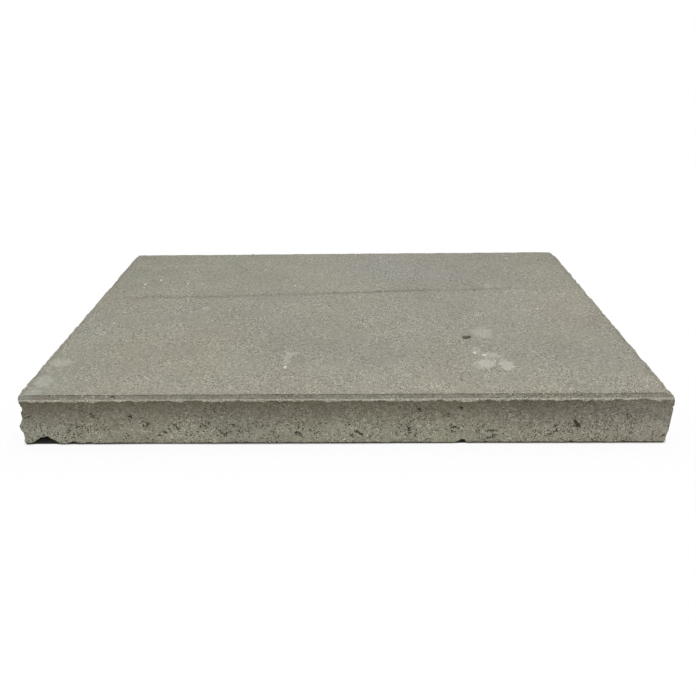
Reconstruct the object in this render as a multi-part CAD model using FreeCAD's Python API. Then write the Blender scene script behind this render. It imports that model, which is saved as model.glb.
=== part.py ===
import FreeCAD, Part
import os

# A pressed concrete patio tile lying flat, in millimetres, +Z up. The origin is the middle of the underside,
# +X runs along the long sides, and the side with the broken corner faces -Y.

# The slab.
slab_length = 600.0
slab_width = 400.0
slab_thickness = 50.0

# The top edge, from the top face outwards: a sloping facet, then a narrow lip that stands out over the side.
facet_width = 5.5
facet_drop = 2.0
lip_width = 1.5
lip_height = 1.5
lip_overhang = 0.5

# The bottom edge, rubbed off all round.
arris_wear = 1.6

# The top front left corner, knocked off: its size along each side, and the heights that it runs between.
corner_break_x = 6.0
corner_break_y = 26.0
corner_break_foot = 20.0
corner_break_full = 31.0

# The spall under the front edge, near the left end: points along and up the side, and how far in it goes.
spall_from_end = 4.0
spall_outline = ((0.0, 0.0), (4.0, 4.0), (10.0, 8.6), (18.0, 9.2), (24.0, 6.4), (28.0, 2.6), (34.0, 0.0))
spall_depth = 17.0

# The small notch under the front edge, right of the middle, given in the same way.
notch_from_middle = 101.0
notch_outline = ((0.0, 0.0), (7.0, 2.0), (10.2, 4.9), (12.6, 4.7), (14.6, 0.0))
notch_depth = 8.0

# The two deepest pits in the top face: right of the middle, behind it, across the mouth, and deep.
pits = ((131.5, -77.0, 8.5, 2.6), (163.0, 55.0, 4.6, 1.6))
pit_floor_share = 0.4

# How far a cutter reaches past the surface that it starts from.
overcut = 2.0


def point(x, y, z):
    return FreeCAD.Vector(x, y, z)


def flat_face(corners):
    return Part.Face(Part.makePolygon(list(corners) + [corners[0]]))


def solid_of(faces):
    solid = Part.Solid(Part.Shell(faces))
    if solid.Volume < 0:
        solid.reverse()
    return solid


def rectangle(inset, z):
    """Corners of the slab's outline drawn in by inset, at height z."""
    x = slab_length / 2 - inset
    y = slab_width / 2 - inset
    return [point(-x, -y, z), point(x, -y, z), point(x, y, z), point(-x, y, z)]


def band(lower, upper):
    """The four flat faces between two rectangles."""
    faces = []
    for i in range(4):
        j = (i + 1) % 4
        faces.append(flat_face([lower[i], lower[j], upper[j], upper[i]]))
    return faces


def whole_slab():
    """The slab before anything was knocked off it."""
    lip_top = slab_thickness - facet_drop
    lip_foot = lip_top - lip_height
    levels = [
        rectangle(lip_overhang + arris_wear, 0.0),
        rectangle(lip_overhang, arris_wear),
        rectangle(lip_overhang, lip_foot),
        rectangle(0.0, lip_foot),
        rectangle(0.0, lip_top),
        rectangle(lip_width, lip_top),
        rectangle(lip_width + facet_width, slab_thickness),
    ]
    faces = [flat_face(levels[0]), flat_face(levels[-1])]
    for lower, upper in zip(levels, levels[1:]):
        faces += band(lower, upper)
    return solid_of(faces)


def pyramid(base, tip):
    """A solid drawn from a flat outline to one point."""
    faces = [flat_face(base)]
    for i in range(len(base)):
        faces.append(flat_face([base[i], base[(i + 1) % len(base)], tip]))
    return solid_of(faces)


def edge_chip(x_start, outline, depth):
    """A piece broken out of the front bottom edge, running in to a point under the slab."""
    front = -slab_width / 2 + lip_overhang
    chip_length = outline[-1][0]
    tip = point(x_start + chip_length / 2, front + depth, -overcut / 2)
    reach = 1 + overcut / depth
    corners = [point(x_start, front, -overcut)]
    corners += [point(x_start + along, front, up) for along, up in outline]
    corners += [point(x_start + chip_length, front, -overcut)]
    return pyramid([tip + (corner - tip) * reach for corner in corners], tip)


def broken_corner():
    """The piece knocked off the top front left corner."""
    x = -slab_length / 2
    y = -slab_width / 2
    plan = [(x - overcut, y - overcut), (x + corner_break_x, y - overcut), (x + corner_break_x, y),
            (x, y + corner_break_y), (x - overcut, y + corner_break_y)]
    base = [point(px, py, corner_break_full) for px, py in plan]
    upper = flat_face(base).extrude(point(0, 0, slab_thickness - corner_break_full + overcut))
    lower = pyramid(base, point(x - overcut, y - overcut, corner_break_foot))
    return upper.fuse(lower)


def pit(x, y, across, deep):
    """A hollow in the top face, with sloping sides and a small flat floor."""
    mouth = across / 2
    floor = mouth * pit_floor_share
    above = mouth + (mouth - floor) * overcut / deep
    return Part.makeCone(floor, above, deep + overcut, point(x, y, slab_thickness - deep))


def patio_tile():
    """The slab with its damage cut out, as the one solid that it has to be."""
    cutters = [
        edge_chip(-slab_length / 2 + spall_from_end, spall_outline, spall_depth),
        edge_chip(notch_from_middle, notch_outline, notch_depth),
        broken_corner(),
    ]
    cutters += [pit(x, y, across, deep) for x, y, across, deep in pits]
    cut_slab = whole_slab().cut(cutters)
    if len(cut_slab.Solids) != 1:
        raise ValueError("the tile came apart")
    return cut_slab.Solids[0]


os.makedirs("parts", exist_ok=True)
tile = patio_tile()
tile.exportStep("parts/patio_tile.step")
box = tile.BoundBox
print("patio_tile", tile.ShapeType, "solids", len(tile.Solids), "valid", tile.isValid())
print("size", round(box.XLength, 3), round(box.YLength, 3), round(box.ZLength, 3), "lowest", round(box.ZMin, 3))
print("volume", round(tile.Volume), "cubic mm")
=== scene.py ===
import math
from functools import reduce

import bpy
import numpy as np
from bpy.props import FloatProperty, FloatVectorProperty, IntProperty, PointerProperty
from mathutils import Matrix, Vector


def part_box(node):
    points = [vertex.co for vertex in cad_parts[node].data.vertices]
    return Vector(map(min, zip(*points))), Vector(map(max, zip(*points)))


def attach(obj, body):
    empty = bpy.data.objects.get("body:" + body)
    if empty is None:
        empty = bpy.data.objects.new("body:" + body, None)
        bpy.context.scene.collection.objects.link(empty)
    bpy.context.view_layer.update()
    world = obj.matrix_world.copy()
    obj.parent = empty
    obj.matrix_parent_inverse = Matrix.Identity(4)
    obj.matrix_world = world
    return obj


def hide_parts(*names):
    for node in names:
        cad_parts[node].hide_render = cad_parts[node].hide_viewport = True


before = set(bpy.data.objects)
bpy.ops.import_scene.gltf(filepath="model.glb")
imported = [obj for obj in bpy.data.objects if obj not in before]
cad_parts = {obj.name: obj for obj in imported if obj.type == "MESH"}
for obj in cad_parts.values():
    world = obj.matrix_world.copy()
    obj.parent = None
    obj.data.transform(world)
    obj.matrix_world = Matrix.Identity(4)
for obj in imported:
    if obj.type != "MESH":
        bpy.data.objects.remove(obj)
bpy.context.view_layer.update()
tile_low, tile_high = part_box("patio_tile")

bl_info = {
    "name": "Concrete patio tile",
    "version": (1, 0, 0),
    "blender": (4, 5, 0),
    "location": "3D View > Sidebar > Patio tile",
    "description": "Makes a worn, pressed concrete patio tile and a plain studio to see it in",
    "category": "Object",
}

MM = 0.001
HALF_LENGTH = (tile_high.x - tile_low.x) / 2
HALF_WIDTH = (tile_high.y - tile_low.y) / 2
THICKNESS = tile_high.z - tile_low.z

# The shallow line across the top face, in millimetres: how far it runs behind the middle, how much of that
# it gains per millimetre to the right, how far it swings and over what length.
GROOVE_BEHIND, GROOVE_SLOPE, GROOVE_SWING, GROOVE_PERIOD = 47.5, 0.038, 3.0, 95.0


# --- What a user may change ---


def length(name, description, millimetres):
    return FloatProperty(name=name, description=description, default=millimetres * MM, min=0.0,
                         unit="LENGTH", precision=5)


def share(name, description, value):
    return FloatProperty(name=name, description=description, default=value, min=0.0, max=1.0,
                         subtype="FACTOR")


def colour(name, description, red, green, blue):
    return FloatVectorProperty(name=name, description=description, default=(red, green, blue),
                               min=0.0, max=1.0, size=3, subtype="COLOR")


class TileShape(bpy.types.PropertyGroup):
    """Sizes of the moulded slab."""
    facet_width: length("Facet width", "Sloping band round the top face, seen from above", 5.5)
    facet_drop: length("Facet drop", "How far the facet falls", 2.0)
    lip_width: length("Lip width", "Ledge at the foot of the facet", 1.5)
    lip_height: length("Lip height", "How far the lip comes down the side", 1.5)
    lip_overhang: length("Lip overhang", "How far the lip stands out over the side", 0.5)
    arris_wear: length("Bottom edge wear", "How much is rubbed off the bottom edge", 1.6)
    mesh_step: length("Mesh step", "Spacing of the points that the wear is cut into", 1.0)
    most_triangles: IntProperty(name="Most triangles", default=194000, min=1000,
                                description="The tile is thinned to this many triangles")


class TileWear(bpy.types.PropertyGroup):
    """How rough and worn the slab is."""
    lip_raggedness: length("Lip raggedness", "How much the lip's outer edge wanders", 0.9)
    lip_drip: length("Lip drips", "How far the lip's lowest runs hang down the side", 2.4)
    corner_break: length("Broken corner", "What is knocked off the top front left corner, along X", 6.0)
    spall_height: length("Spall height", "Height of the break under the front edge at the left end", 8.6)
    spall_depth: length("Spall depth", "How far that break runs in under the tile", 17.0)
    notch_height: length("Notch height", "Height of the notch under the front edge, right of the middle", 4.9)
    notch_depth: length("Notch depth", "How far that notch runs in under the tile", 8.0)
    groove_depth: length("Groove depth", "The shallow line pressed across the top face", 0.55)
    pit_depth: length("Pit depth", "The deepest pit in the top face", 2.6)
    wave_height: length("Wave height", "Slow unevenness of every face", 0.35)
    grain_height: length("Grain height", "Sand standing out of the faces", 0.22)
    pore_depth: length("Pore depth", "Deepest of the scattered pores", 1.7)
    pore_share: share("Pores", "Share of the pore cells that hold a pore on the sides", 0.42)
    small_pores: IntProperty(name="Small pores", default=6, min=0,
                             description="How many small pores stand round each large one")
    seed: IntProperty(name="Seed", description="Random start of all wear", default=7, min=0)


class TileFinish(bpy.types.PropertyGroup):
    """Colours of the concrete."""
    paste: colour("Paste", "Cement between the grains", 0.298, 0.283, 0.235)
    # Also the colour of the painted glints.
    pale_grain_and_glint: colour("Pale grains", "Light sand", 0.521, 0.501, 0.435)
    dark_grain: colour("Dark grains", "Dark sand", 0.084, 0.079, 0.062)
    warm_grain: colour("Warm grains", "Brown sand", 0.291, 0.225, 0.142)
    # Partly painted shade: the upper sides are darkened toward this colour as if shaded by the overhanging
    # lip, partly as darker paste.
    under_lip: colour("Under the lip", "Cement at the top of the sides", 0.136, 0.120, 0.085)
    foot: colour("Foot", "Cement at the bottom of the sides", 0.330, 0.318, 0.245)
    # Painted shade: the facet is darkened toward this colour, fully at the front and weakly elsewhere, as if
    # turned away from the light.
    facet: colour("Facet", "Cement on the sloping band", 0.206, 0.192, 0.154)
    lip: colour("Lip", "Thin pale skin on the lip", 0.415, 0.393, 0.320)
    smear: colour("Cement smears", "Splashes of pale cement on the top face", 0.500, 0.485, 0.422)
    speck: colour("Bright specks", "Small bright specks on the top face", 0.660, 0.645, 0.580)
    # Partly dirt and partly painted shade: darkens pores, pits and pinholes, and paints shade in the crease
    # above the facet.
    dirt_and_shade: colour("Dirt", "What has gathered in hollows", 0.036, 0.034, 0.026)
    grain_size: length("Grain size", "Spacing of the coarser sand", 1.4)
    roughness: share("Roughness", "Roughness of the dry surface", 0.92)


class StudioLook(bpy.types.PropertyGroup):
    """Floor, lamps and camera."""
    floor_white: share("Floor whiteness", "How pale the floor is", 0.88)
    key_power: FloatProperty(name="Key power", description="Large lamp above and behind the tile, in watts",
                             default=12.5, min=0.0, unit="POWER")
    sky: share("Sky strength", "Even light from all round", 0.66)
    lens: FloatProperty(name="Lens", description="Focal length of the camera, in mm", default=34.57, min=1.0)


# --- Node tree helpers ---


def feed(tree, socket, value):
    """Links another node's output to a socket, or sets the socket's own value."""
    if isinstance(value, bpy.types.NodeSocket):
        tree.links.new(value, socket)
    else:
        socket.default_value = value


def add(tree, kind, inputs=None, **settings):
    """A new node with its settings and inputs; inputs are given by name or number."""
    node = tree.nodes.new(kind)
    for name, value in settings.items():
        setattr(node, name, value)
    for key, value in (inputs or {}).items():
        feed(tree, node.inputs[key], value)
    return node


def fresh_tree(owner):
    """The empty node tree of a material or world."""
    owner.use_nodes = True
    owner.node_tree.nodes.clear()
    return owner.node_tree


def calc(tree, operation, a, b=0.0, c=0.0):
    return add(tree, "ShaderNodeMath", {0: a, 1: b, 2: c}, operation=operation).outputs[0]


def times(tree, *factors):
    return reduce(lambda a, b: calc(tree, "MULTIPLY", a, b), factors)


def plus(tree, a, b):
    return calc(tree, "ADD", a, b)


def minus(tree, a, b):
    return calc(tree, "SUBTRACT", a, b)


def most(tree, a, b):
    return calc(tree, "MAXIMUM", a, b)


def least(tree, a, b):
    return calc(tree, "MINIMUM", a, b)


def vector_calc(tree, operation, a, b=(0, 0, 0)):
    return add(tree, "ShaderNodeVectorMath", {0: a, 1: b}, operation=operation).outputs[0]


def scaled(tree, vector, factor):
    return add(tree, "ShaderNodeVectorMath", {0: vector, "Scale": factor}, operation="SCALE").outputs[0]


def apart(tree, vector):
    """The three parts of a vector or colour."""
    return add(tree, "ShaderNodeSeparateXYZ", {0: vector}).outputs


def remap(tree, value, low, high, to_low=0.0, to_high=1.0):
    """Value taken from low..high to to_low..to_high with soft ends, and held there."""
    node = add(tree, "ShaderNodeMapRange", {"Value": value, "From Min": low, "From Max": high,
                                            "To Min": to_low, "To Max": to_high},
               interpolation_type="SMOOTHSTEP")
    return node.outputs[0]


def noise(tree, vector, size, detail=2.0, roughness=0.5, offset=0.0):
    """Soft noise, 0 to 1, with lumps of about this size."""
    moved = vector_calc(tree, "ADD", vector, (offset, offset * 0.7, offset * 1.3))
    node = add(tree, "ShaderNodeTexNoise", {"Vector": moved, "Scale": 1 / size, "Detail": detail,
                                            "Roughness": roughness})
    return node.outputs[0]


def cells(tree, vector, size, offset=0.0):
    """Voronoi cells of about this size; the node gives a distance and a random colour for each."""
    moved = vector_calc(tree, "ADD", vector, (offset, -offset, offset * 0.6))
    return add(tree, "ShaderNodeTexVoronoi", {"Vector": moved, "Scale": 1 / size})


def mix(tree, factor, a, b, blend="MIX"):
    node = add(tree, "ShaderNodeMix", data_type="RGBA", blend_type=blend)
    feed(tree, node.inputs[0], factor)
    for socket, value in ((node.inputs[6], a), (node.inputs[7], b)):
        feed(tree, socket, value if isinstance(value, bpy.types.NodeSocket) else (*value, 1.0))
    return node.outputs[2]


# --- The blank: closed rings of points round the edge, and a grid on the top face and the underside ---


class Edge:
    """How the slab's edge runs: a value for each point round it, in metres."""

    def __init__(self, shape, wear, rng):
        self.steps_x = round(2 * HALF_LENGTH / shape.mesh_step)
        self.steps_y = round(2 * HALF_WIDTH / shape.mesh_step)
        self.count = 2 * (self.steps_x + self.steps_y)
        self.unit = self.walk_round()
        self.rng = rng
        # The lip: its outer edge wanders, on the two ends it has lost more, and its foot is torn, with
        # runs that hang lower.
        lip = self.ragged(14 * MM) * 0.45 + self.ragged(5 * MM) * 0.35 + self.ragged(2.5 * MM) * 0.20
        runs = np.clip(self.ragged(19 * MM) * 0.6 + self.ragged(7 * MM) * 0.4 - 0.42, 0, 1) / 0.58
        self.crease_inset = shape.lip_width + shape.facet_width + (self.ragged(30 * MM) - 0.5) * 0.7 * MM
        self.lip_top = THICKNESS - shape.facet_drop + (self.ragged(9 * MM) - 0.5) * 0.5 * MM
        at_end = np.abs(self.unit[:, 0]) == 1
        knocked = np.clip(self.ragged(8 * MM) * 0.6 + self.ragged(3 * MM) * 0.4 - 0.35, 0, 1) * at_end
        ragged_lip = wear.lip_raggedness * np.clip(lip * 1.5 - 0.35, 0, 1)
        self.lip_inset = ragged_lip + 2.6 * wear.lip_raggedness * knocked
        torn = self.ragged(9 * MM) * 0.38 + self.ragged(3.6 * MM) * 0.34 + self.ragged(2 * MM) * 0.28 - 0.5
        self.lip_foot = (THICKNESS - shape.facet_drop - shape.lip_height + torn * 4.2 * MM
                         - wear.lip_drip * runs ** 1.5)
        self.side_inset = shape.lip_overhang + (self.ragged(60 * MM) - 0.3) * 0.6 * MM
        self.under_lip = np.maximum(self.side_inset, ragged_lip + 0.25 * MM)
        self.side_top = self.lip_foot - 0.3 * MM - 1.2 * np.maximum(0, self.lip_inset - self.under_lip)
        # The bottom edge is rubbed off unevenly.
        worn = self.ragged(11 * MM) * 0.5 + self.ragged(4 * MM) * 0.5
        self.arris_height = shape.arris_wear * (0.35 + 1.3 * worn ** 1.6)
        self.arris_inset = self.side_inset + shape.arris_wear * (0.5 + 1.2 * worn)

    def walk_round(self):
        """Points round a square from -1 to 1, anticlockwise from its front left corner."""
        x = np.linspace(-1, 1, self.steps_x + 1)
        y = np.linspace(-1, 1, self.steps_y + 1)
        front = np.column_stack([x[:-1], np.full(self.steps_x, -1.0)])
        right = np.column_stack([np.full(self.steps_y, 1.0), y[:-1]])
        back = np.column_stack([x[:0:-1], np.full(self.steps_x, 1.0)])
        left = np.column_stack([np.full(self.steps_y, -1.0), y[:0:-1]])
        return np.vstack([front, right, back, left])

    def ragged(self, period):
        """A smooth random line round the edge, 0 to 1, that meets itself."""
        total = 4 * (HALF_LENGTH + HALF_WIDTH)
        knots = max(4, round(total / period))
        values = self.rng.random(knots)
        at = np.arange(self.count) / self.count * knots
        first = at.astype(int)
        part = at - first
        part = part * part * (3 - 2 * part)
        return values[first % knots] * (1 - part) + values[(first + 1) % knots] * part

    def ring(self, inset, height):
        """Points round the slab at an inset from its box and a height."""
        return np.column_stack([self.unit[:, 0] * (HALF_LENGTH - inset),
                                self.unit[:, 1] * (HALF_WIDTH - inset),
                                np.broadcast_to(height, self.count)])


def edge_rings(edge, shape):
    """Rings from the crease round the top face, over the lip and down the side, to the underside."""
    step = shape.mesh_step
    side = THICKNESS - shape.facet_drop - shape.lip_height
    # Inset, height, length of the band above it (which sets its rings), and whether it is on the lip.
    stops = [
        (edge.crease_inset, THICKNESS, 0, 0),
        (edge.crease_inset - 0.35 * MM, THICKNESS - 0.45 * MM, 0.5 * MM, 0),
        (edge.lip_inset + shape.lip_width, edge.lip_top, shape.facet_width, 0),
        (edge.lip_inset + 0.5 * MM, edge.lip_top + 0.15 * MM, shape.lip_width, 1),
        (edge.lip_inset, edge.lip_top - 0.45 * MM, 0.6 * MM, 1),
        (edge.lip_inset + 0.05 * MM, edge.lip_foot, shape.lip_height, 1),
        (edge.under_lip, edge.side_top, 0.3 * MM, 0),
        (edge.side_inset, edge.side_top - 4 * MM, 4 * MM, 0),
        (edge.side_inset, edge.arris_height, side - 4 * MM, 0),
        (edge.arris_inset, 0.0, 2 * shape.arris_wear, 0),
    ]
    rings = [edge.ring(stops[0][0], stops[0][1])]
    on_lip = [0]
    for (inset_a, height_a, _, _), (inset_b, height_b, span, lip) in zip(stops, stops[1:]):
        parts = max(1, round(span / step))
        for k in range(1, parts + 1):
            t = k / parts
            rings.append(edge.ring(inset_a * (1 - t) + inset_b * t, height_a * (1 - t) + height_b * t))
            on_lip.append(lip)
    return rings, on_lip


def grid_inside(edge, ring, height):
    """Points of a flat grid inside a ring, at a height."""
    half_x = np.abs(ring[:, 0]).max()
    half_y = np.abs(ring[:, 1]).max()
    x = np.linspace(-half_x, half_x, edge.steps_x + 1)[1:-1]
    y = np.linspace(-half_y, half_y, edge.steps_y + 1)[1:-1]
    grid_x, grid_y = np.meshgrid(x, y, indexing="ij")
    return np.column_stack([grid_x.ravel(), grid_y.ravel(), np.full(grid_x.size, height)])


def grid_quads(edge, ring_start, inner_start):
    """Quads over a grid whose border is a ring, facing up."""
    nx, ny = edge.steps_x, edge.steps_y
    index = np.zeros((nx + 1, ny + 1), int)
    index[1:-1, 1:-1] = inner_start + np.arange((nx - 1) * (ny - 1)).reshape(nx - 1, ny - 1)
    around = ring_start + np.arange(edge.count)
    index[:-1, 0] = around[:nx]
    index[-1, :-1] = around[nx:nx + ny]
    index[:0:-1, -1] = around[nx + ny:2 * nx + ny]
    index[0, :0:-1] = around[2 * nx + ny:]
    corners = [index[:-1, :-1], index[1:, :-1], index[1:, 1:], index[:-1, 1:]]
    return np.column_stack([c.ravel() for c in corners])


def ring_quads(edge, ring_count):
    """Quads between each ring and the next, facing out."""
    here = np.arange(edge.count)
    after = (here + 1) % edge.count
    bands = []
    for k in range(ring_count - 1):
        upper = k * edge.count
        lower = upper + edge.count
        bands.append(np.column_stack([upper + here, lower + here, lower + after, upper + after]))
    return np.vstack(bands)


def moulded_blank(edge, shape):
    """All the points and quads of the slab as it left the mould, and which points are on the lip."""
    rings, on_lip = edge_rings(edge, shape)
    top = grid_inside(edge, rings[0], THICKNESS)
    under = grid_inside(edge, rings[-1], 0.0)
    points = np.vstack(rings + [top, under])
    last_ring = (len(rings) - 1) * edge.count
    top_start = len(rings) * edge.count
    quads = np.vstack([
        ring_quads(edge, len(rings)),
        grid_quads(edge, 0, top_start),
        grid_quads(edge, last_ring, top_start + len(top))[:, ::-1],
    ])
    lip = np.zeros(len(points))
    lip[:len(rings) * edge.count] = np.repeat(on_lip, edge.count)
    return points, quads, lip


# --- Wear with a place of its own ---


def wobble(values, period, rng):
    """Smooth random numbers, -1 to 1, along a line."""
    knots = rng.uniform(-1, 1, 4096)
    at = values / period + 2048
    first = np.floor(at).astype(int)
    part = at - first
    part = part * part * (3 - 2 * part)
    return knots[first % 4096] * (1 - part) + knots[(first + 1) % 4096] * part


def break_under_front(points, broken, start, outline, deep, rng):
    """Breaks a piece out of the front bottom edge. The outline is points along and up the side."""
    along = [start + a for a, _ in outline]
    up = [b for _, b in outline]
    tallest = max(up)
    front = -HALF_WIDTH
    x = points[:, 0]
    height = np.interp(x, along, up, left=0, right=0)
    height = height * (1 + 0.16 * wobble(x, 2.2 * MM, rng)) + 1e-9
    reach = deep * np.sqrt(height / tallest) + 1e-9
    into = points[:, 1] - front
    left_out = 1 - into / reach - points[:, 2] / height
    hit = (left_out > 0) & (height > 0.2 * MM)
    shift = left_out[hit] / (1 / reach[hit] + 1 / height[hit])
    points[hit, 1] += shift
    points[hit, 2] += shift
    broken[hit] = 1.0


def break_upright_corner(points, broken, side_x, side_y, heights, along_x, y_share, rng):
    """Breaks off an upright corner; along_x gives how much is gone along X at each height."""
    z = points[:, 2]
    gone_x = np.interp(z, heights, along_x) * (1 + 0.22 * wobble(z, 3.2 * MM, rng)) + 1e-9
    gone_y = gone_x * y_share
    from_x = HALF_LENGTH - side_x * points[:, 0]
    from_y = HALF_WIDTH - side_y * points[:, 1]
    left_out = 1 - from_x / gone_x - from_y / gone_y
    hit = left_out > 0
    shift = left_out[hit] / (1 / gone_x[hit] + 1 / gone_y[hit])
    points[hit, 0] -= side_x * shift
    points[hit, 1] -= side_y * shift
    broken[hit] = np.maximum(broken[hit], np.clip(gone_x[hit] / (3 * MM), 0, 1))


def sink_pit(points, x, y, across, deep, stretch, turn, rng):
    """A ragged hollow in the top face."""
    on_top = points[:, 2] > THICKNESS - 1 * MM
    dx = points[:, 0] - x
    dy = points[:, 1] - y
    u = dx * math.cos(turn) + dy * math.sin(turn)
    v = (dy * math.cos(turn) - dx * math.sin(turn)) * stretch
    angle = np.arctan2(v, u)
    starts = rng.uniform(0, 2 * math.pi, 4)
    uneven = sum(np.sin(angle * (k + 2) + starts[k]) / (k + 2) for k in range(4))
    r = np.hypot(u, v) / (across / 2 * (1 + 0.22 * uneven))
    fall = np.clip((1.15 - r) / 0.55, 0, 1)
    fall = fall * fall * (3 - 2 * fall)
    points[on_top, 2] -= deep * fall[on_top]


def sink_pore(points, x, z, long, wide, turn, deep, rng):
    """A ragged pore in the front side."""
    on_front = (points[:, 1] < -HALF_WIDTH + 2.5 * MM) & (points[:, 2] > 1 * MM)
    dx = points[:, 0] - x
    dz = points[:, 2] - z
    u = (dx * math.cos(turn) + dz * math.sin(turn)) / (long / 2)
    v = (dz * math.cos(turn) - dx * math.sin(turn)) / (wide / 2)
    angle = np.arctan2(v, u)
    starts = rng.uniform(0, 2 * math.pi, 3)
    uneven = sum(np.sin(angle * (k + 2) + starts[k]) / (k + 2) for k in range(3))
    fall = np.clip(1.5 - np.hypot(u, v) * (1 + 0.7 * uneven), 0, 1)
    fall = fall * fall * (3 - 2 * fall)
    points[on_front, 1] += deep * fall[on_front]


def groove_line(x):
    """Where the shallow line across the top face runs, behind the middle, at each x."""
    return (GROOVE_BEHIND + GROOVE_SLOPE * x / MM + GROOVE_SWING * np.sin(x / MM / GROOVE_PERIOD)) * MM


# How deep the line is at each x in millimetres, as a share of the groove depth.
GROOVE_STRENGTH = ((-285, 0.15), (-230, 0.5), (-160, 0.65), (-60, 0.45), (10, 1.0), (75, 0.9), (130, 0.45),
                   (165, 0.7), (215, 0.35), (290, 0.1))


def press_groove(points, deep, rng):
    """The shallow line across the top face, deepest right of the middle."""
    on_top = points[:, 2] > THICKNESS - 1 * MM
    x = points[on_top, 0]
    off = points[on_top, 1] - groove_line(x)
    strength = np.interp(x / MM, [at for at, _ in GROOVE_STRENGTH], [share for _, share in GROOVE_STRENGTH])
    strength = strength * (1 + 0.25 * wobble(x, 17 * MM, rng))
    valley = np.exp(-(off / (4.8 * MM)) ** 2)
    bank = 0.30 * np.exp(-((off + 10 * MM) / (5.5 * MM)) ** 2)
    points[on_top, 2] -= deep * strength * (valley - bank)


# Outlines of the two large breaks under the front edge, in millimetres along it and up the side.
SPALL = ((0, 0), (5, 1.2), (9, 3.0), (13, 7.0), (17, 9.2), (21, 8.6), (24, 6.4), (28, 2.6), (34, 0))
NOTCH = ((0, 0), (7, 2), (10.2, 4.9), (12.6, 4.7), (14.6, 0))

# Small chips under the front edge, in millimetres: where each starts, its length and its height.
CHIPS = ((-258, 13, 2.6), (-243, 11, 2.2), (131, 5, 2.0), (210, 6, 2.0))

# Pits in the top face: x, y and width in millimetres, share of the pit depth, stretch, turn in radians.
PITS = (
    (132.5, -77.0, 10.5, 0.85, 1.1, 0.5), (163.0, 55.0, 4.6, 0.6, 1.3, 0.2),
    (-163.5, 40.0, 5.5, 0.4, 1.7, 0.1), (-161.0, 1.0, 2.6, 0.4, 0.8, 0.0),
    (-164.5, 58.0, 2.4, 0.3, 1.0, 0.0),
)

# Large pores in the front side: x, z, length and width in millimetres, turn in radians, depth.
PORES = (
    (215.5, 20.0, 11.5, 4.8, -0.75, 3.6), (14.0, 12.5, 4.5, 2.0, 1.9, 2.6),
    (16.5, 10.5, 5.0, 1.8, -0.7, 2.4), (97.5, 31.2, 8.5, 1.1, -0.35, 1.5),
    (71.7, 37.0, 3.2, 1.8, 0.1, 1.8), (106.7, 38.5, 3.4, 2.0, 0.2, 1.8),
    (-253.0, 14.6, 5.6, 2.0, 0.35, 2.4), (-243.5, 19.5, 3.4, 1.4, 0.0, 1.8),
    (-230.0, 30.0, 4.2, 1.8, 0.5, 1.9), (-194.0, 27.8, 3.4, 2.0, 0.6, 2.0),
    (-180.5, 19.6, 5.4, 2.0, 0.3, 2.0), (-163.5, 12.6, 5.6, 1.7, -0.6, 2.2),
    (-288.0, 30.5, 5.4, 2.0, 0.5, 2.0), (-240.0, 36.5, 4.4, 1.4, 1.5, 1.6),
    (-126.7, 20.0, 3.4, 2.4, 0.7, 2.2), (-121.7, 22.5, 3.2, 2.2, 0.7, 2.2),
    (-152.7, 17.6, 3.6, 2.2, -0.2, 2.2), (-99.0, 19.0, 3.0, 2.0, 0.4, 2.0),
    (-96.5, 14.0, 3.0, 1.9, 1.2, 1.9), (-107.7, 10.2, 3.8, 1.9, 0.0, 2.0),
    (-72.7, 19.5, 3.4, 1.7, -0.6, 1.9), (-41.0, 12.0, 4.0, 2.2, 0.3, 2.4),
    (-39.5, 8.8, 3.6, 1.7, -0.6, 2.0), (62.8, 17.5, 3.6, 1.6, 0.4, 1.9),
    (62.0, 11.0, 3.8, 1.5, -0.8, 1.9), (137.5, 13.5, 3.6, 2.2, 1.0, 2.2),
    (140.5, 8.6, 3.4, 1.9, -0.7, 2.0), (103.5, 17.0, 4.6, 1.7, 0.3, 1.8),
    (198.0, 14.2, 3.0, 2.2, 1.0, 2.0), (192.0, 9.2, 3.2, 1.8, -0.7, 1.9),
    (259.7, 29.2, 2.8, 2.2, 0.0, 2.2), (271.0, 35.8, 3.4, 1.6, 0.1, 1.8),
    (296.0, 8.2, 4.6, 2.6, 0.4, 2.4),
)
OPEN_LENGTH, OPEN_WIDTH = 0.52, 0.56  # how much of a pore's length and width lies open


def outline(places, scale=1.0):
    """An outline given in millimetres, with its heights scaled."""
    return [(along * MM, up * MM * scale) for along, up in places]


def break_edges(points, broken, wear, rng):
    """The breaks along the front bottom edge."""
    spall = wear.spall_height / (max(up for _, up in SPALL) * MM)
    break_under_front(points, broken, 4 * MM - HALF_LENGTH, outline(SPALL, spall), wear.spall_depth, rng)
    notch = wear.notch_height / (max(up for _, up in NOTCH) * MM)
    break_under_front(points, broken, 101 * MM, outline(NOTCH, notch), wear.notch_depth, rng)
    for start, long, tall in CHIPS:
        chip = ((0, 0), (0.4 * long, tall), (0.7 * long, 0.8 * tall), (long, 0))
        break_under_front(points, broken, start * MM, outline(chip), 4 * MM, rng)


def break_corners(points, broken, wear, rng):
    """The four upright corners: how much is gone along X at each height, and how much more along Y."""
    height = THICKNESS / MM
    corner = wear.corner_break / MM
    for side_x, side_y, y_share, losses in (
            (-1, -1, 4.2, ((0, 3.0), (4, 2.2), (9, 3.0), (13, 2.4), (17, 1.2), (20, 0.6), (22, 1.6),
                           (27, 0.85 * corner), (31, corner), (height, corner))),
            (1, -1, 1.4, ((0, 2.6), (6, 1.8), (14, 0.8), (36, 0.5), (38, 1.6), (40, 0.6), (height, 1.2))),
            (-1, 1, 1.8, ((0, 1.6), (20, 0.7), (height, 7.0))),
            (1, 1, 2.2, ((0, 1.2), (24, 1.0), (40, 5.0), (height, 8.0)))):
        heights, gone = np.array(losses).T * MM
        break_upright_corner(points, broken, side_x, side_y, heights, gone, y_share, rng)


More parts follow.
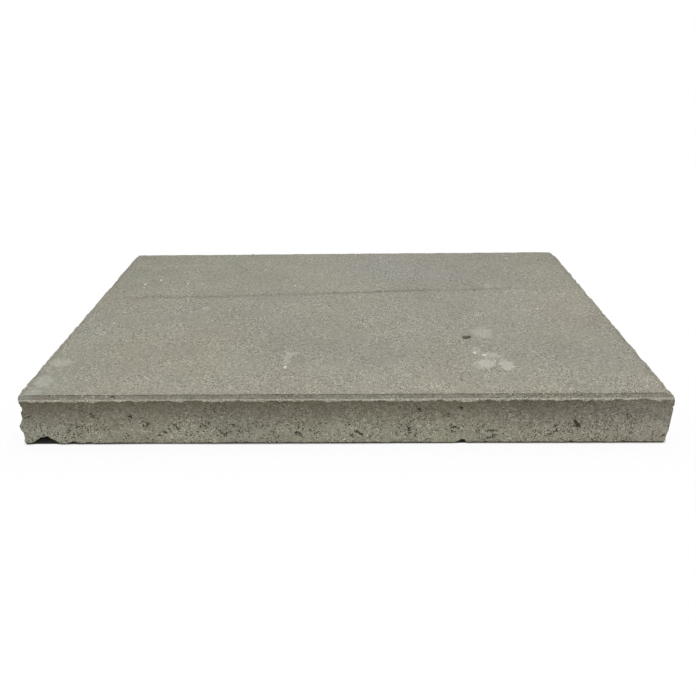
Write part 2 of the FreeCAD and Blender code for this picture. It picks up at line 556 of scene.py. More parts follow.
def worn_points(points, wear, rng):
    """Cuts the named damage into the blank. Returns how broken each point's surface is, 0 to 1."""
    broken = np.zeros(len(points))
    break_edges(points, broken, wear, rng)
    break_corners(points, broken, wear, rng)
    press_groove(points, wear.groove_depth, rng)
    for x, y, across, share_of_depth, stretch, turn in PITS:
        sink_pit(points, x * MM, y * MM, across * MM, wear.pit_depth * share_of_depth, stretch, turn, rng)
    for x, z, long, wide, turn, deep in PORES:
        sink_pore(points, x * MM, z * MM, OPEN_LENGTH * long * MM, OPEN_WIDTH * wide * MM, turn,
                  deep * MM, rng)
        for _ in range(wear.small_pores):
            beside_x, beside_z = rng.normal(0, (4.0, 2.2))
            across = rng.uniform(0.8, 1.5) * MM
            sink_pore(points, (x + beside_x) * MM, min(z + beside_z, 38.0) * MM, across, across, 0.0,
                      rng.uniform(1.0, 2.0) * MM, rng)
    return broken


# --- Geometry Nodes: the relief that covers every face ---

RELIEF_INPUTS = (
    ("Wave height", "NodeSocketFloat"),
    ("Grain height", "NodeSocketFloat"),
    ("Break roughness", "NodeSocketFloat"),
    ("Pore depth", "NodeSocketFloat"),
    ("Pore share", "NodeSocketFloat"),
    ("Seed", "NodeSocketFloat"),
    ("Finish", "NodeSocketMaterial"),
)


# Scattered pores, in millimetres: spacing, radius, depth as a share of the pore depth, random start.
SCATTERED_PORES = ((8.5, 1.15, 1.0, 13.0), (4.6, 0.80, 0.75, 57.0), (23.0, 1.9, 1.25, 91.0))
BREAK_ROUGHNESS = 1.3 * MM


def relief_tree():
    """Sinks each point inwards by slow waves, sand grain and scattered pores, all from its position."""
    tree = bpy.data.node_groups.new("Concrete relief", "GeometryNodeTree")
    face = tree.interface
    face.new_socket("Geometry", in_out="INPUT", socket_type="NodeSocketGeometry")
    for name, kind in RELIEF_INPUTS:
        face.new_socket(name, in_out="INPUT", socket_type=kind)
    face.new_socket("Geometry", in_out="OUTPUT", socket_type="NodeSocketGeometry")
    start = add(tree, "NodeGroupInput").outputs

    position = add(tree, "GeometryNodeInputPosition").outputs[0]
    normal = add(tree, "GeometryNodeInputNormal").outputs[0]
    millimetres = scaled(tree, position, 1 / MM)
    seed = start["Seed"]
    shift = add(tree, "ShaderNodeCombineXYZ", {0: seed, 1: seed, 2: seed}).outputs[0]
    place = vector_calc(tree, "ADD", millimetres, shift)
    up = apart(tree, normal)[2]
    height = apart(tree, millimetres)[2]
    broken = add(tree, "GeometryNodeInputNamedAttribute", {"Name": "broken"}, data_type="FLOAT").outputs[0]

    upright = remap(tree, calc(tree, "ABSOLUTE", up), 0.75, 0.35)
    sandy = times(tree, upright, remap(tree, height, 0.86 * THICKNESS / MM, 0.45 * THICKNESS / MM))
    facing_down = remap(tree, up, -0.3, -0.8)
    open_grain = most(tree, times(tree, facing_down, 0.8), most(tree, sandy, broken))

    waves = times(tree, noise(tree, place, 85.0, 2.0), start["Wave height"])
    rough = noise(tree, place, 3.2, 3.0, 0.62, 31.0)
    grain_scale = remap(tree, open_grain, 0.0, 1.0, 0.32, 1.25)
    grain = times(tree, rough, grain_scale, start["Grain height"])

    lumps = noise(tree, place, 6.5, 3.0, 0.6, 77.0)
    break_relief = times(tree, lumps, broken, start["Break roughness"])

    depth = plus(tree, waves, plus(tree, grain, break_relief))
    chance = times(tree, start["Pore share"],
                  remap(tree, open_grain, 0.0, 1.0, 0.10, 1.0))
    warp = add(tree, "ShaderNodeTexNoise", {"Vector": place, "Scale": 0.45, "Detail": 2.0}).outputs[1]
    bent = add(tree, "ShaderNodeVectorMath", {0: warp, 1: (1.9, 1.9, 1.9), 2: place},
               operation="MULTIPLY_ADD").outputs[0]
    for spacing, radius, deep, offset in SCATTERED_PORES:
        pore = cells(tree, bent, spacing, offset)
        picks = apart(tree, pore.outputs["Color"])
        present = calc(tree, "LESS_THAN", picks[0], chance)
        size = calc(tree, "MULTIPLY_ADD", picks[1], 0.9 * radius / spacing, 0.45 * radius / spacing)
        near = calc(tree, "DIVIDE", pore.outputs["Distance"], size)
        bowl = times(tree, remap(tree, near, 1.25, 0.45), present)
        own = times(tree, calc(tree, "MULTIPLY_ADD", picks[2], 0.6, 0.4), deep)
        depth = calc(tree, "MULTIPLY_ADD", times(tree, bowl, own), start["Pore depth"], depth)

    inward = scaled(tree, normal, times(tree, depth, -1.0))
    moved = add(tree, "GeometryNodeSetPosition", {"Geometry": start["Geometry"], "Offset": inward}).outputs[0]
    real = add(tree, "GeometryNodeRealizeInstances", {"Geometry": moved}).outputs[0]
    finished = add(tree, "GeometryNodeSetMaterial", {"Geometry": real, "Material": start["Finish"]})
    add(tree, "NodeGroupOutput", {"Geometry": finished.outputs[0]})
    return tree


def with_relief(blank, wear, finish):
    """Runs the relief over the blank, with its inputs set by the sockets' identifiers."""
    tree = relief_tree()
    modifier = blank.modifiers.new("Relief", "NODES")
    modifier.node_group = tree
    values = {
        "Wave height": wear.wave_height,
        "Grain height": wear.grain_height,
        "Break roughness": BREAK_ROUGHNESS,
        "Pore depth": wear.pore_depth,
        "Pore share": wear.pore_share,
        "Seed": 3.7 * wear.seed,
        "Finish": finish,
    }
    for item in tree.interface.items_tree:
        if item.in_out == "INPUT" and item.name in values:
            modifier[item.identifier] = values[item.name]


# --- The tile ---


def new_object(name, data):
    """An object in the scene."""
    thing = bpy.data.objects.new(name, data)
    bpy.context.scene.collection.objects.link(thing)
    return thing


def fast_mesh(name, points, quads):
    """A mesh from arrays of points and quads."""
    mesh = bpy.data.meshes.new(name)
    mesh.vertices.add(len(points))
    mesh.vertices.foreach_set("co", points.astype(np.float32).ravel())
    mesh.loops.add(quads.size)
    mesh.loops.foreach_set("vertex_index", quads.astype(np.int32).ravel())
    mesh.polygons.add(len(quads))
    mesh.polygons.foreach_set("loop_start", np.arange(0, quads.size, 4, dtype=np.int32))
    mesh.update(calc_edges=True)
    return mesh


def plain_mesh(scene_object, name):
    """The evaluated object as a mesh of its own."""
    graph = bpy.context.evaluated_depsgraph_get()
    mesh = bpy.data.meshes.new_from_object(scene_object.evaluated_get(graph), depsgraph=graph)
    mesh.name = name
    return mesh


def read_points(mesh):
    points = np.empty(len(mesh.vertices) * 3, np.float32)
    mesh.vertices.foreach_get("co", points)
    return points.reshape(-1, 3)


def hold_inside(mesh):
    """Keeps every point inside the slab's own box."""
    points = read_points(mesh)
    points = np.clip(points, np.array(tile_low, np.float32), np.array(tile_high, np.float32))
    mesh.vertices.foreach_set("co", points.ravel())
    mesh.update()


def bake_map(mesh):
    """A flat layout: the top face large, the four sides in strips, the underside smaller."""
    scale_top = 1.40
    scale_under = 0.70
    margin = 0.004
    long, wide, thick = 2 * HALF_LENGTH, 2 * HALF_WIDTH, THICKNESS
    layer = mesh.uv_layers.new(name="OFBake")
    count = len(mesh.polygons)
    normals = np.empty(count * 3, np.float32)
    centres = np.empty(count * 3, np.float32)
    mesh.polygons.foreach_get("normal", normals)
    mesh.polygons.foreach_get("center", centres)
    normals = normals.reshape(-1, 3)
    centres = centres.reshape(-1, 3)
    inset = np.minimum(HALF_LENGTH - np.abs(centres[:, 0]), HALF_WIDTH - np.abs(centres[:, 1]))
    on_end = HALF_LENGTH - np.abs(centres[:, 0]) < HALF_WIDTH - np.abs(centres[:, 1])
    side = (inset < 4 * MM) & (centres[:, 2] > 1.5 * MM) & (centres[:, 2] < THICKNESS - 2.4 * MM)
    end = np.where(centres[:, 0] < 0, 3, 4)
    long_side = np.where(centres[:, 1] < 0, 1, 2)
    flat = np.where(centres[:, 2] > THICKNESS / 2, 0, 5)
    kind = np.where(side, np.where(on_end, end, long_side), flat)
    loops = np.empty(len(mesh.loops), np.int32)
    mesh.loops.foreach_get("vertex_index", loops)
    totals = np.empty(count, np.int32)
    mesh.polygons.foreach_get("loop_total", totals)
    loop_kind = np.repeat(kind, totals)
    x, y, z = read_points(mesh)[loops].T
    from_left, from_front = x + HALF_LENGTH, y + HALF_WIDTH
    row_front = wide * scale_top + 2 * margin
    row_back = row_front + thick * scale_top + margin
    row_under = row_back + thick * scale_top + margin
    column_end = long * scale_top + 2 * margin
    places = {
        0: (margin + from_left * scale_top, margin + from_front * scale_top),
        1: (margin + from_left * scale_top, row_front + z * scale_top),
        2: (margin + from_left * scale_top, row_back + z * scale_top),
        3: (column_end + z * scale_top, margin + from_front * scale_top),
        4: (column_end + (thick + margin) * scale_top + z * scale_top, margin + from_front * scale_top),
        5: (margin + from_left * scale_under, row_under + from_front * scale_under),
    }
    uv = np.zeros((len(loops), 2), np.float32)
    for key, (u, v) in places.items():
        here = loop_kind == key
        uv[here, 0] = u[here]
        uv[here, 1] = v[here]
    layer.data.foreach_set("uv", uv.ravel())


def make_tile_mesh(shape, wear, finish):
    rng = np.random.default_rng(wear.seed)
    edge = Edge(shape, wear, rng)
    points, quads, lip = moulded_blank(edge, shape)
    broken = worn_points(points, wear, rng)
    mesh = fast_mesh("tile_blank", points, quads)
    for name, values in (("broken", broken), ("lip", lip)):
        mesh.attributes.new(name, "FLOAT", "POINT").data.foreach_set("value", values.astype(np.float32))
    blank = new_object("tile_blank", mesh)
    with_relief(blank, wear, finish)
    thin = blank.modifiers.new("Thin", "DECIMATE")
    thin.ratio = min(1.0, shape.most_triangles / (2 * len(quads)))
    front = (points[:, 1] < -HALF_WIDTH + shape.lip_width + shape.facet_width) & (points[:, 2] > 0)
    keep = front | (lip > 0)
    blank.vertex_groups.new(name="kept").add(np.nonzero(keep)[0].tolist(), 1.0, "REPLACE")
    thin.vertex_group = "kept"
    thin.invert_vertex_group = True
    thin.use_collapse_triangulate = True
    result = plain_mesh(blank, "patio_tile_surface")
    bpy.data.objects.remove(blank)
    bpy.data.meshes.remove(mesh)
    return result


# --- The concrete's finish ---


class Surface:
    """Places on the tile that its finish is painted by, in millimetres, from Object coordinates."""

    def __init__(self, tree, shape):
        self.tree = tree
        own = add(tree, "ShaderNodeTexCoord").outputs["Object"]
        self.place = scaled(tree, own, 1 / MM)
        self.x, self.y, self.z = apart(tree, self.place)
        from_end = minus(tree, HALF_LENGTH / MM, calc(tree, "ABSOLUTE", self.x))
        from_side = minus(tree, HALF_WIDTH / MM, calc(tree, "ABSOLUTE", self.y))
        self.inset = least(tree, from_end, from_side)

        # How far a point lies below the unworn surface: pits, pores and the breaks.
        height = THICKNESS / MM
        ledge = shape.lip_width / MM
        self.crease = (shape.lip_width + shape.facet_width) / MM
        drop = add(tree, "ShaderNodeMapRange", {
            "Value": self.inset, "From Min": ledge, "From Max": self.crease,
            "To Min": shape.facet_drop / MM, "To Max": 0.0}).outputs[0]
        top_depth = minus(tree, minus(tree, height, self.z), drop)
        side_depth = minus(tree, self.inset, shape.lip_overhang / MM)
        self.sunk = least(tree, least(tree, top_depth, side_depth), self.z)

        # Which part of the tile a point is on, 0 to 1 for each.
        foot = height - (shape.facet_drop + shape.lip_height) / MM
        self.above_side = remap(tree, self.z, foot - 0.4, foot + 0.6)
        self.facet = times(tree, remap(tree, self.inset, self.crease + 0.3, self.crease - 0.3),
                           remap(tree, self.inset, ledge - 0.3, ledge + 0.5), self.above_side)
        self.on_top = times(tree, remap(tree, self.inset, self.crease - 0.3, self.crease + 0.3),
                            self.above_side)
        self.broken = add(tree, "ShaderNodeAttribute", attribute_name="broken").outputs["Fac"]
        lip = add(tree, "ShaderNodeAttribute", attribute_name="lip").outputs["Fac"]
        self.lip = times(tree, remap(tree, lip, 0.35, 0.75), remap(tree, self.inset, 5.0, 3.5))
        slant = least(tree, 2.0, times(tree, self.inset, 0.4))
        below_lip = remap(tree, minus(tree, self.z, slant), foot + 0.4, foot - 0.2)
        self.side = times(tree, minus(tree, 1.0, self.lip), below_lip)

        # Noises that several colours share, from broad to fine.
        self.laid_bare = remap(tree, noise(tree, self.place, 30.0, 3.0, 0.6, 50.0), 0.38, 0.62, 0.55, 1.15)
        self.torn = noise(tree, self.place, 5.5, 3.0, 0.65, 3.0)
        self.frayed = noise(tree, self.place, 1.6, 2.0, 0.6, 19.0)
        self.flecked = remap(tree, self.frayed, 0.36, 0.56, 0.45, 1.0)

        # Height above the underside, as if the bands of the sides had uneven borders.
        self.level = plus(tree, self.z, remap(tree, self.torn, 0.3, 0.7, -4.0, 4.0))

    def blot(self, x, y, across_x, across_y, ragged=0.8, soft=0.22):
        """A ragged patch on the top face."""
        tree = self.tree
        dx = calc(tree, "DIVIDE", minus(tree, self.x, x), across_x / 2)
        dy = calc(tree, "DIVIDE", minus(tree, self.y, y), across_y / 2)
        square = plus(tree, times(tree, dx, dx), times(tree, dy, dy))
        uneven = calc(tree, "MULTIPLY_ADD", minus(tree, self.frayed, 0.5), 0.9,
                      times(tree, minus(tree, self.torn, 0.5), 2.8))
        torn = calc(tree, "MULTIPLY_ADD", uneven, ragged, calc(tree, "SQRT", square))
        return times(tree, remap(tree, torn, 1.0 + soft, 1.0 - soft), self.on_top)


def colour_steps(tree, value, blend, stops):
    """A colour ramp with these stops: a place from 0 to 1 and a colour for each."""
    node = add(tree, "ShaderNodeValToRGB", {0: value})
    ramp = node.color_ramp
    ramp.interpolation = blend
    for number, (at, tone) in enumerate(stops):
        stop = ramp.elements[number] if number < 2 else ramp.elements.new(at)
        stop.position = at
        stop.color = (*tone, 1.0)
    return node


def grains(surface, finish):
    """Sand in cement, seen close: grains of four colours with paste between them."""
    tree, place = surface.tree, surface.place
    size = finish.grain_size / MM
    coarse = cells(tree, place, size)
    picked = apart(tree, coarse.outputs["Color"])[0]
    ramp = colour_steps(tree, picked, "CONSTANT", (
        (0.0, finish.dark_grain), (0.17, finish.warm_grain), (0.22, finish.paste), (0.74, finish.pale_grain_and_glint)))
    body = remap(tree, coarse.outputs["Distance"], 0.60, 0.28)
    tone = mix(tree, times(tree, body, 0.88, surface.laid_bare), tuple(finish.paste), ramp.outputs[0])
    fine = noise(tree, place, 1.1, 2.0, 0.6, 5.0)
    blotches = noise(tree, place, 3.4, 2.0, 0.55, 9.0)
    fine = calc(tree, "MULTIPLY_ADD", remap(tree, fine, 0.25, 0.75, -0.32, 0.32), surface.laid_bare, 1.0)
    shade = times(tree, fine, remap(tree, blotches, 0.3, 0.7, 0.90, 1.10))
    return mix(tree, 1.0, tone, grey(tree, shade), "MULTIPLY"), body


def specks(surface, spacing, radius, chosen_share, offset):
    """Small scattered dots, 0 to 1, each in a cell of its own."""
    tree = surface.tree
    cell = cells(tree, surface.place, spacing, offset)
    picks = apart(tree, cell.outputs["Color"])
    chosen = calc(tree, "LESS_THAN", picks[1], chosen_share)
    size = calc(tree, "MULTIPLY_ADD", picks[0], radius / spacing, 0.5 * radius / spacing)
    near = calc(tree, "DIVIDE", cell.outputs["Distance"], size)
    return times(tree, remap(tree, near, 1.15, 0.6), chosen)


def zone(tree, amount, base, paste, wanted):
    """Base recoloured, where amount is 1, as if its paste were of the wanted colour."""
    ratio = [amount_of / paste_of for amount_of, paste_of in zip(wanted, paste)]
    return mix(tree, amount, base, mix(tree, 1.0, base, ratio, "MULTIPLY"))


def grey(tree, value):
    return add(tree, "ShaderNodeCombineColor", {0: value, 1: value, 2: value}).outputs[0]


def tint(tree, base, red, green, blue):
    """Base times a grey-ish tint whose channels are nodes or numbers."""
    wanted = add(tree, "ShaderNodeCombineColor", {0: red, 1: green, 2: blue}).outputs[0]
    return mix(tree, 1.0, base, wanted, "MULTIPLY")


def clouds(surface, base):
    """Slow changes of tone and of warmth over the whole tile."""
    tree, place = surface.tree, surface.place
    broad = noise(tree, place, 120.0, 1.0, 0.5, 21.0)
    patchy = noise(tree, place, 32.0, 2.0, 0.5, 43.0)
    tone = times(tree, remap(tree, broad, 0.3, 0.7, 0.965, 1.035), remap(tree, patchy, 0.3, 0.7, 0.97, 1.03))
    warm = remap(tree, noise(tree, place, 95.0, 1.0, 0.5, 67.0), 0.35, 0.65, -0.010, 0.010)
    green = remap(tree, noise(tree, place, 80.0, 1.0, 0.5, 15.0), 0.35, 0.65, -0.004, 0.010)
    # The whole tile is made lighter toward the front edge and darker toward the back.
    tone = times(tree, tone, remap(tree, surface.y, -200.0, 200.0, 1.085, 0.945))
    tone = times(tree, tone, remap(tree, surface.y, -60.0, 20.0, 1.0, 1.055))
    return tint(tree, base, times(tree, tone, plus(tree, 1.0, warm)),
                times(tree, tone, plus(tree, 1.0, green)),
                times(tree, tone, minus(tree, 1.0, warm)))


def side_colours(surface, base, finish):
    """The sides: dark and smooth under the lip, partly as painted shade from the overhanging lip, paler and
    sandier toward the foot.
    """
    tree = surface.tree
    paste = tuple(finish.paste)
    side = zone(tree, remap(tree, surface.level, 48.0, 3.0), base, paste, finish.foot)
    # Painted shade and darker paste under the lip, weaker near the right end.
    shaded = times(tree, remap(tree, surface.level, 8.0, 50.0),
                   remap(tree, surface.x, 190.0, 285.0, 1.0, 0.74))
    side = zone(tree, shaded, side, paste, finish.under_lip)
    browner = mix(tree, 1.0, side, (0.955, 0.930, 0.955), "MULTIPLY")
    side = mix(tree, remap(tree, surface.x, 60.0, 220.0), side, browner)
    return mix(tree, surface.side, base, side)


def edge_colours(surface, base, finish):
    """The sloping band with painted shade toward the front, a painted shade line along its upper edge, and
    the pale lip at its foot.
    """
    tree = surface.tree
    paste = tuple(finish.paste)
    front, left_end = HALF_WIDTH / MM, HALF_LENGTH / MM
    # Painted shade: strongest on the front facet, as if it were turned away from the light, and weak on the
    # other facets and at the left end.
    front_shade = times(tree, remap(tree, surface.y, 6 - front, 9 - front, 1.0, 0.12),
                         remap(tree, surface.x, 6 - left_end, 24 - left_end, 0.35, 1.0))
    base = zone(tree, times(tree, surface.facet, front_shade), base, paste, finish.facet)
    # Painted shade: a dark line in the crease at the top of the facet, mostly at the front.
    from_crease = calc(tree, "ABSOLUTE", minus(tree, surface.inset, surface.crease - 0.4))
    crease = times(tree, remap(tree, from_crease, 0.9, 0.3), remap(tree, surface.torn, 0.35, 0.6, 0.15, 0.45),
                   front_shade, surface.above_side)
    base = mix(tree, crease, base, tuple(finish.dirt_and_shade))
    lip = times(tree, surface.lip, remap(tree, surface.frayed, 0.38, 0.55, 0.1, 1.0))
    return zone(tree, lip, base, paste, finish.lip)


# The marks on the top face are placed in millimetres: right of the middle, behind it, across, deep.
# Slow changes of hue, with what each channel is multiplied by.
TINTS = (
    (-190.0, 140.0, 220.0, 110.0, 0.985, 1.010, 0.975), (90.0, 135.0, 210.0, 100.0, 0.975, 0.985, 1.035),
    (165.0, 5.0, 170.0, 150.0, 1.000, 0.985, 1.010), (-200.0, -120.0, 200.0, 90.0, 1.015, 1.000, 0.970),
    (60.0, -182.0, 520.0, 24.0, 1.030, 1.015, 1.005), (105.0, -110.0, 400.0, 58.0, 0.942, 0.942, 0.950),
    (-285.0, -140.0, 90.0, 150.0, 1.000, 1.045, 1.045), (-275.0, 40.0, 90.0, 130.0, 0.950, 0.952, 0.948),
)

# Splashes of pale cement, and how strong each is.
SPLASHES = (
    (141.5, -137.0, 20.0, 18.0, 1.0), (161.0, -140.0, 15.0, 21.0, 1.0), (151.0, -67.0, 19.0, 24.0, 0.55),
    (137.0, -109.0, 9.0, 18.0, 0.45), (150.0, -120.0, 19.0, 13.0, 0.65), (182.0, 66.0, 10.0, 14.0, 0.3),
    (154.0, -19.0, 10.0, 12.0, 0.25), (-282.0, -131.0, 26.0, 15.0, 0.6), (-286.0, -168.0, 20.0, 20.0, 0.6),
    (-288.0, -189.0, 22.0, 10.0, 0.45), (-215.0, 149.0, 42.0, 9.0, 0.2), (-55.0, -122.0, 7.0, 26.0, 0.6),
    (-50.0, -112.0, 13.0, 6.0, 0.5), (-161.0, 2.0, 9.0, 10.0, 0.6), (84.0, -179.0, 2.5, 13.0, 0.8),
)

# Small bright specks.
SPECKS = (
    (-255.4, 80.0, 2.6, 4.6), (-253.5, 69.0, 2.0, 3.6), (-238.0, 95.0, 3.2, 4.6), (-200.0, 82.0, 2.8, 3.8),
    (-258.0, -37.0, 2.2, 3.4), (-61.0, 72.0, 2.4, 3.6), (-105.0, 130.0, 1.8, 3.0), (227.0, 168.0, 2.6, 4.4),
    (226.0, -5.0, 2.0, 3.0), (-55.6, -142.0, 2.8, 6.0), (-181.0, 80.0, 1.8, 3.0), (134.5, -113.5, 3.2, 5.0),
    (143.5, -118.5, 5.5, 3.6),
)

# How dark the shallow line is, from the left end, 0, to the right end, 1.
GROOVE_SHADE = ((0.02, 0.1), (0.12, 0.7), (0.40, 0.45), (0.53, 1.0), (0.63, 0.9), (0.72, 0.4), (0.78, 0.6),
                (0.98, 0.1))


def groove_mask(surface):
    """How strongly painted shade darkens the line across the top face."""
    tree = surface.tree
    swing = times(tree, calc(tree, "SINE", calc(tree, "DIVIDE", surface.x, GROOVE_PERIOD)), GROOVE_SWING)
    line = plus(tree, calc(tree, "MULTIPLY_ADD", surface.x, GROOVE_SLOPE, GROOVE_BEHIND), swing)
    off = calc(tree, "ABSOLUTE", minus(tree, surface.y, line))
    near = remap(tree, plus(tree, off, remap(tree, surface.torn, 0.3, 0.7, -2.0, 2.0)), 7.0, 0.0)
    along = calc(tree, "MULTIPLY_ADD", surface.x, MM / (2 * HALF_LENGTH), 0.5)
    shade = colour_steps(tree, along, "LINEAR", [(at, (tone, tone, tone)) for at, tone in GROOVE_SHADE])
    return times(tree, near, shade.outputs[0], surface.on_top)


def top_marks(surface, base, finish):
    """The painted shade along the line, the changes of hue, the splashes and the bright specks on the top
    face.
    """
    tree = surface.tree
    # Painted shade along the shallow line pressed across the top face.
    groove = times(tree, groove_mask(surface), 0.31)
    base = mix(tree, 1.0, base, grey(tree, minus(tree, 1.0, groove)), "MULTIPLY")
    for x, y, wide, deep, red, green, blue in TINTS:
        patch = surface.blot(x, y, wide, deep, 0.3, 0.9)
        base = mix(tree, patch, base, mix(tree, 1.0, base, (red, green, blue), "MULTIPLY"))
    for x, y, wide, deep, strength in SPLASHES:
        patch = times(tree, surface.blot(x, y, wide, deep), strength, surface.flecked)
        base = mix(tree, patch, base, tuple(finish.smear))
    for x, y, wide, deep in SPECKS:
        base = mix(tree, surface.blot(x, y, wide, deep, 0.35, 0.25), base, tuple(finish.speck))
    return base


def hollows(surface, base, finish):
    """Glints, dark pinholes, and dirt with painted shade in pores and pits. Returns the colour and where the
    pinholes are.
    """
    tree = surface.tree
    # Painted highlights: small glints in the pale grain colour.
    glints = times(tree, specks(surface, 3.1, 0.66, 0.22, 35.0), surface.laid_bare, 0.95)
    base = mix(tree, glints, base, tuple(finish.pale_grain_and_glint))
    few_dark = times(tree, specks(surface, 3.6, 0.66, 0.18, 12.0), 0.8)
    crumbly = remap(tree, noise(tree, surface.place, 15.0, 2.0, 0.5, 27.0), 0.46, 0.60, 0.18, 0.66)
    open_side = times(tree, surface.side, remap(tree, surface.level, 42.0, 14.0))
    many_dark = times(tree, specks(surface, 2.1, 0.70, crumbly, 71.0), open_side)
    pinhole = most(tree, few_dark, many_dark)
    # Dirt and painted shade: pores and pits are painted darker the deeper a point lies, except on broken
    # faces, and pinholes are painted dark.
    below_lip = most(tree, surface.on_top, remap(tree, surface.z, 45.5, 43.5))
    may_darken = times(tree, below_lip, minus(tree, 1.0, surface.broken))
    deep_in = calc(tree, "MULTIPLY_ADD", minus(tree, surface.frayed, 0.5), 2.6, surface.sunk)
    hollow = most(tree, times(tree, remap(tree, deep_in, 0.9, 1.7, 0.0, 0.85), may_darken), pinhole)
    dirt_and_shade_amount = times(tree, hollow, calc(tree, "MULTIPLY_ADD", surface.on_top, -0.52, 0.88))
    return mix(tree, dirt_and_shade_amount, base, tuple(finish.dirt_and_shade)), pinhole


def concrete(shape, finish):
    """The material: colours laid over each other, fine bump and a dry surface."""
    material = bpy.data.materials.new("Concrete")
    tree = fresh_tree(material)
    surface = Surface(tree, shape)
    base, body = grains(surface, finish)
    base = clouds(surface, base)
    base = side_colours(surface, base, finish)
    base = edge_colours(surface, base, finish)
    base = top_marks(surface, base, finish)
    base, pinhole = hollows(surface, base, finish)

    fine = noise(tree, surface.place, 1.1, 3.0, 0.6, 5.0)
    sand = calc(tree, "MULTIPLY_ADD", fine, 0.30, times(tree, body, 0.10))
    relief = minus(tree, sand, times(tree, pinhole, 0.5))
    bump = add(tree, "ShaderNodeBump", {"Height": relief, "Strength": 0.7, "Distance": MM}).outputs[0]
    rough = remap(tree, body, 0.0, 1.0, finish.roughness + 0.04, finish.roughness - 0.06)
    skin = add(tree, "ShaderNodeBsdfPrincipled", {"Base Color": base, "Roughness": rough, "Normal": bump,
                                                  "Specular IOR Level": 0.25})
    add(tree, "ShaderNodeOutputMaterial", {"Surface": skin.outputs[0]})
    return material


# --- The studio ---


def seen_directly(tree):
    """1 for what the camera sees, straight on, in a reflection or through glass."""
    path = add(tree, "ShaderNodeLightPath").outputs
    return most(tree, path["Is Camera Ray"],
                most(tree, path["Is Glossy Ray"], path["Is Transmission Ray"]))


def floor_material(look):
    material = bpy.data.materials.new("Studio floor")
    tree = fresh_tree(material)
    place = add(tree, "ShaderNodeTexCoord").outputs["Object"]
    # How far a place on the floor is from the foot of the tile.
    footprint = (HALF_LENGTH - 4 * MM, HALF_WIDTH - 1.5 * MM, 0)
    past = vector_calc(tree, "SUBTRACT", vector_calc(tree, "ABSOLUTE", place), footprint)
    clear = vector_calc(tree, "MAXIMUM", past)
    away = add(tree, "ShaderNodeVectorMath", {0: clear}, operation="LENGTH").outputs["Value"]
    # Painted contact shadow: the glow is dimmed by ambient occlusion near the tile and turned off under its
    # footprint.
    open_sky = add(tree, "ShaderNodeAmbientOcclusion", {"Distance": 0.0035}, samples=8).outputs["AO"]
    outside = remap(tree, away, 0.0, 0.8 * MM)
    strength = times(tree, remap(tree, open_sky, 0.35, 0.85), outside)
    glow = add(tree, "ShaderNodeEmission", {"Color": (1, 1, 1, 1), "Strength": strength})
    near = add(tree, "ShaderNodeBsdfDiffuse", {"Color": (1, 1, 1, 1)})
    share_lit = remap(tree, away, 0.0, 0.10, 0.09, 0.0)
    seen = add(tree, "ShaderNodeMixShader", {0: share_lit, 1: glow.outputs[0], 2: near.outputs[0]})
    white = look.floor_white
    lit = add(tree, "ShaderNodeBsdfDiffuse", {"Color": (white, white, white, 1)})
    both = add(tree, "ShaderNodeMixShader", {0: seen_directly(tree), 1: lit.outputs[0], 2: seen.outputs[0]})
    add(tree, "ShaderNodeOutputMaterial", {"Surface": both.outputs[0]})
    return material


def make_floor(look):
    half = 12.0
    mesh = bpy.data.meshes.new("studio_floor")
    corners = [(-half, -half, 0), (half, -half, 0), (half, half, 0), (-half, half, 0)]
    mesh.from_pydata(corners, [], [(0, 1, 2, 3)])
    floor = new_object("studio_floor", mesh)
    floor.data.materials.append(floor_material(look))


def make_sky(look):
    world = bpy.data.worlds.new("Studio")
    bpy.context.scene.world = world
    tree = fresh_tree(world)
    strength = most(tree, seen_directly(tree), look.sky)
    sky = add(tree, "ShaderNodeBackground", {"Color": (1, 1, 1, 1), "Strength": strength})
    add(tree, "ShaderNodeOutputWorld", {"Surface": sky.outputs[0]})


KEY_PLACE = (0.1, 0.0, 1.75)
KEY_SIZE = (1.8, 1.2)
CAMERA_PLACE = (0.0080, -0.7173, 0.3664)


def make_lamp(name, place, aim, size, power):
    data = bpy.data.lights.new(name, "AREA")
    data.shape = "RECTANGLE"
    data.size, data.size_y = size
    data.energy = power
    lamp = new_object(name, data)
    lamp.location = place
    lamp.rotation_euler = (Vector(aim) - Vector(place)).to_track_quat("-Z", "Y").to_euler()


def make_camera(look):
    pitch, yaw, roll = 0.4246, 0.0206, -0.0149
    turn = Matrix.Rotation(yaw, 3, "Z")
    ahead = turn @ Vector((0, math.cos(pitch), -math.sin(pitch)))
    up = turn @ Vector((0, math.sin(pitch), math.cos(pitch)))
    right = turn @ Vector((1, 0, 0))
    right, up = (math.cos(roll) * right + math.sin(roll) * up, math.cos(roll) * up - math.sin(roll) * right)
    data = bpy.data.cameras.new("camera")
    data.sensor_width = 36.0
    data.lens = look.lens
    data.shift_x = 0.0158
    data.shift_y = -0.0484
    camera = new_object("camera", data)
    axes = Matrix((right, up, -ahead)).transposed()
    camera.matrix_world = Matrix.Translation(CAMERA_PLACE) @ axes.to_4x4()
    bpy.context.scene.camera = camera


# --- Operators and panel ---


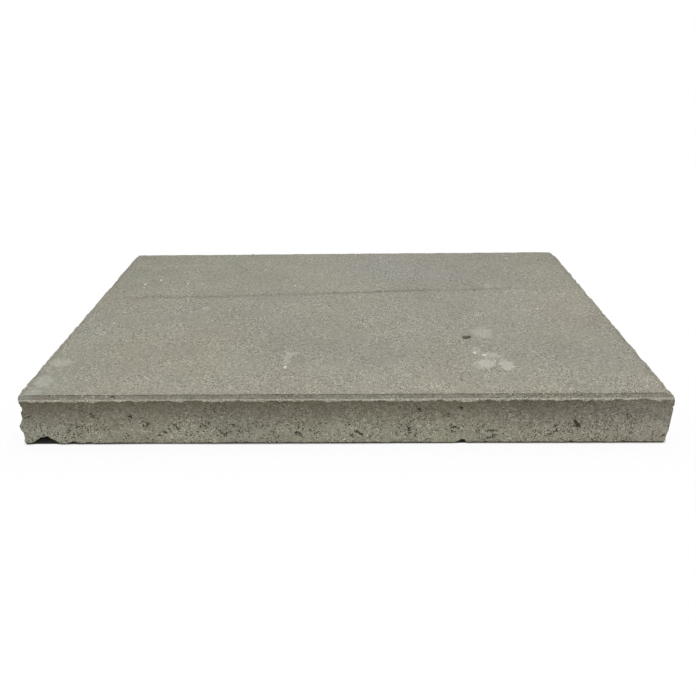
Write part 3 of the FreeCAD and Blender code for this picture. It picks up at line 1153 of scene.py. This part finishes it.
class PATIO_OT_make_tile(bpy.types.Operator):
    """Make the worn concrete tile in place of the plain one"""
    bl_idname = "patio.make_tile"
    bl_label = "Make patio tile"

    def execute(self, context):
        scene = context.scene
        shape, wear, finish = scene.tile_shape, scene.tile_wear, scene.tile_finish
        mesh = make_tile_mesh(shape, wear, concrete(shape, finish))
        hold_inside(mesh)
        mesh.polygons.foreach_set("use_smooth", np.ones(len(mesh.polygons), bool))
        bake_map(mesh)
        tile = new_object("patio_tile_surface", mesh)
        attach(tile, "root")
        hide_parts("patio_tile")
        return {"FINISHED"}


class PATIO_OT_make_studio(bpy.types.Operator):
    """Make the floor, the sky, the lamp and the camera"""
    bl_idname = "patio.make_studio"
    bl_label = "Make studio"

    def execute(self, context):
        look = context.scene.studio_look
        make_floor(look)
        make_sky(look)
        make_lamp("key", KEY_PLACE, (0, 0, 0), KEY_SIZE, look.key_power)
        make_camera(look)
        context.scene.view_settings.view_transform = "Standard"
        return {"FINISHED"}


class PATIO_PT_panel(bpy.types.Panel):
    """Lists what makes the tile and its studio"""
    bl_idname = "PATIO_PT_panel"
    bl_label = "Patio tile"
    bl_space_type = "VIEW_3D"
    bl_region_type = "UI"
    bl_category = "Patio tile"

    def draw(self, context):
        for group in GROUPS:
            box = self.layout.box()
            settings = getattr(context.scene, group)
            for name in settings.bl_rna.properties.keys():
                if name not in ("rna_type", "name"):
                    box.prop(settings, name)
        self.layout.operator(PATIO_OT_make_tile.bl_idname)
        self.layout.operator(PATIO_OT_make_studio.bl_idname)


GROUPS = {
    "tile_shape": TileShape,
    "tile_wear": TileWear,
    "tile_finish": TileFinish,
    "studio_look": StudioLook,
}
CLASSES = (*GROUPS.values(), PATIO_OT_make_tile, PATIO_OT_make_studio, PATIO_PT_panel)


def register():
    for kind in CLASSES:
        bpy.utils.register_class(kind)
    for name, kind in GROUPS.items():
        setattr(bpy.types.Scene, name, PointerProperty(type=kind))


def unregister():
    for name in GROUPS:
        delattr(bpy.types.Scene, name)
    for kind in reversed(CLASSES):
        bpy.utils.unregister_class(kind)


def main():
    register()
    bpy.ops.patio.make_tile()
    bpy.ops.patio.make_studio()


if __name__ == "__main__":
    main()
